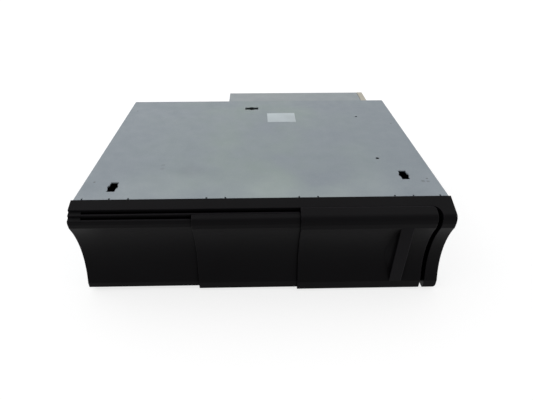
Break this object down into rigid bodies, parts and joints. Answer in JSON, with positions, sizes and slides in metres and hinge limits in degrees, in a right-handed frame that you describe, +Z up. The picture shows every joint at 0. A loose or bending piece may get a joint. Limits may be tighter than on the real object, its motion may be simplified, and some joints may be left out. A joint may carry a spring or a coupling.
{
  "type": "car cd changer",
  "caption": "Car CD changer: flat steel casing with a curved black front, telescoping sliding door, disc magazine with sliding trays, lifting play unit and rear connector.",
  "frame": {"origin": "on the underside, below the middle of the overall size in X and Y", "axes": "+Z up, -Y out of the front with the sliding door, +X to the right seen from the front"},
  "size_m": [0.2616, 0.2332, 0.0761],
  "materials": {
    "cover_steel": "satin zinc-plated sheet",
    "black_plastic": "fine-grained black plastic",
    "chassis_steel": "satin zinc-plated sheet",
    "ivory_plastic": "ivory plastic",
    "gold_contact": "plated",
    "paper": "blank paper label",
    "screw_steel": "plated",
    "frame_steel": "plated sheet",
    "damper_rubber": "soft rubber",
    "motor_metal": "nickel-plated can",
    "board_green": "solder mask",
    "component_black": "moulded parts",
    "magazine_plastic": "dark grey plastic",
    "tray_plastic": "dark grey plastic",
    "white_plastic": "acetal",
    "lens_glass": "coated lens",
    "rod_steel": "ground steel",
    "spring_steel": "wire"
  },
  "bodies": {
    "changer": {"front_bezel": "black_plastic", "top_cover": "cover_steel", "bottom_chassis": "chassis_steel", "rear_housing": "cover_steel", "rear_connector": "ivory_plastic", "connector_contacts": "gold_contact", "cover_label": "paper", "cover_screws": "screw_steel", "mechanism_frame": "frame_steel", "oil_dampers": "damper_rubber", "lift_motor": "motor_metal", "main_board": "board_green", "board_components": "component_black", "switch_board": "board_green", "eject_spring": "spring_steel"},
    "door_right": {"door_right_panel": "black_plastic"},
    "door_middle": {"door_middle_panel": "black_plastic"},
    "magazine": {"magazine_case": "magazine_plastic", "magazine_lid": "magazine_plastic"},
    "eject_lever": {"eject_lever": "white_plastic"},
    "play_unit": {"traverse_plate": "frame_steel", "spindle_motor": "motor_metal", "guide_rods": "rod_steel", "feed_motor": "motor_metal"},
    "turntable": {"turntable": "white_plastic"},
    "clamp_arm": {"clamp_arm": "frame_steel"},
    "clamp_puck": {"clamp_puck": "white_plastic"},
    "pickup": {"pickup_sled": "component_black", "pickup_lens": "lens_glass"},
    "feed_screw": {"feed_screw": "rod_steel"},
    "tray_puller": {"tray_puller": "white_plastic"},
    "lift_cam": {"lift_cam": "frame_steel"},
    "lift_gear": {"lift_gear": "white_plastic"},
    "eject_button": {"eject_button": "black_plastic"},
    "tray_1": {"tray_1": "tray_plastic"},
    "tray_2": {"tray_2": "tray_plastic"},
    "tray_3": {"tray_3": "tray_plastic"},
    "tray_4": {"tray_4": "tray_plastic"},
    "tray_5": {"tray_5": "tray_plastic"},
    "tray_6": {"tray_6": "tray_plastic"}
  },
  "joints": [
    {"name": "door_right_slide", "type": "slide", "parent": "changer", "child": "door_right", "axis": [-1, 0, 0], "range_m": [0, 0.146]},
    {"name": "door_middle_slide", "type": "slide", "parent": "changer", "child": "door_middle", "axis": [-1, 0, 0], "range_m": [0, 0.073]},
    {"name": "magazine_eject", "type": "slide", "parent": "changer", "child": "magazine", "axis": [0, 1, 0], "range_m": [-0.011, 0]},
    {"name": "eject_lever_swing", "type": "hinge", "parent": "changer", "child": "eject_lever", "pos_m": [0.07, 0.0502, 0.036], "axis": [0, 0, -1], "range_deg": [-21.1, 0]},
    {"name": "play_unit_lift", "type": "slide", "parent": "changer", "child": "play_unit", "axis": [0, 0, -1], "range_m": [-0.034, 0]},
    {"name": "lift_cam_slide", "type": "slide", "parent": "changer", "child": "lift_cam", "axis": [-1, 0, 0], "range_m": [-0.0567, 0]},
    {"name": "lift_gear_turn", "type": "hinge", "parent": "changer", "child": "lift_gear", "pos_m": [-0.0465, 0.0566, 0.056], "axis": [0, 1, 0], "range_deg": [-406.2, 0]},
    {"name": "turntable_spin", "type": "hinge", "parent": "play_unit", "child": "turntable", "pos_m": [-0.0575, -0.0234, 0.0187], "axis": [0, 0, 1], "continuous": true},
    {"name": "clamp_arm_swing", "type": "hinge", "parent": "play_unit", "child": "clamp_arm", "pos_m": [-0.0575, 0.0476, 0.0247], "axis": [1, 0, 0], "range_deg": [-2.2, 0]},
    {"name": "clamp_puck_spin", "type": "hinge", "parent": "clamp_arm", "child": "clamp_puck", "pos_m": [-0.0575, -0.0234, 0.0257], "axis": [0, 0, 1], "continuous": true},
    {"name": "pickup_slide", "type": "slide", "parent": "play_unit", "child": "pickup", "axis": [0, 1, 0], "range_m": [0, 0.034]},
    {"name": "feed_screw_turn", "type": "hinge", "parent": "play_unit", "child": "feed_screw", "pos_m": [-0.0795, -0.0234, 0.009], "axis": [0, 1, 0], "range_deg": [0, 2450]},
    {"name": "tray_puller_slide", "type": "slide", "parent": "play_unit", "child": "tray_puller", "axis": [-1, 0, 0], "range_m": [0, 0.1]},
    {"name": "eject_button_press", "type": "slide", "parent": "changer", "child": "eject_button", "axis": [0, 1, 0], "range_m": [0, 0.003], "stiffness_N_per_m": 250, "springref_m": -0.001, "deforming": ["eject_spring"]},
    {"name": "tray_1_slide", "type": "slide", "parent": "magazine", "child": "tray_1", "axis": [-1, 0, 0], "range_m": [0, 0.1]},
    {"name": "tray_2_slide", "type": "slide", "parent": "magazine", "child": "tray_2", "axis": [-1, 0, 0], "range_m": [0, 0.1]},
    {"name": "tray_3_slide", "type": "slide", "parent": "magazine", "child": "tray_3", "axis": [-1, 0, 0], "range_m": [0, 0.1]},
    {"name": "tray_4_slide", "type": "slide", "parent": "magazine", "child": "tray_4", "axis": [-1, 0, 0], "range_m": [0, 0.1]},
    {"name": "tray_5_slide", "type": "slide", "parent": "magazine", "child": "tray_5", "axis": [-1, 0, 0], "range_m": [0, 0.1]},
    {"name": "tray_6_slide", "type": "slide", "parent": "magazine", "child": "tray_6", "axis": [-1, 0, 0], "range_m": [0, 0.1]}
  ],
  "couplings": [
    {"joint": "door_middle_slide", "follows": "door_right_slide", "ratio": 0.5},
    {"joint": "eject_lever_swing", "follows": "magazine_eject", "rad_per_m": 33.333},
    {"joint": "lift_cam_slide", "follows": "play_unit_lift", "ratio": 1.6676},
    {"joint": "lift_gear_turn", "follows": "play_unit_lift", "rad_per_m": 208.46},
    {"joint": "clamp_puck_spin", "follows": "turntable_spin", "ratio": 1},
    {"joint": "feed_screw_turn", "follows": "pickup_slide", "rad_per_m": 1256.6}
  ]
}
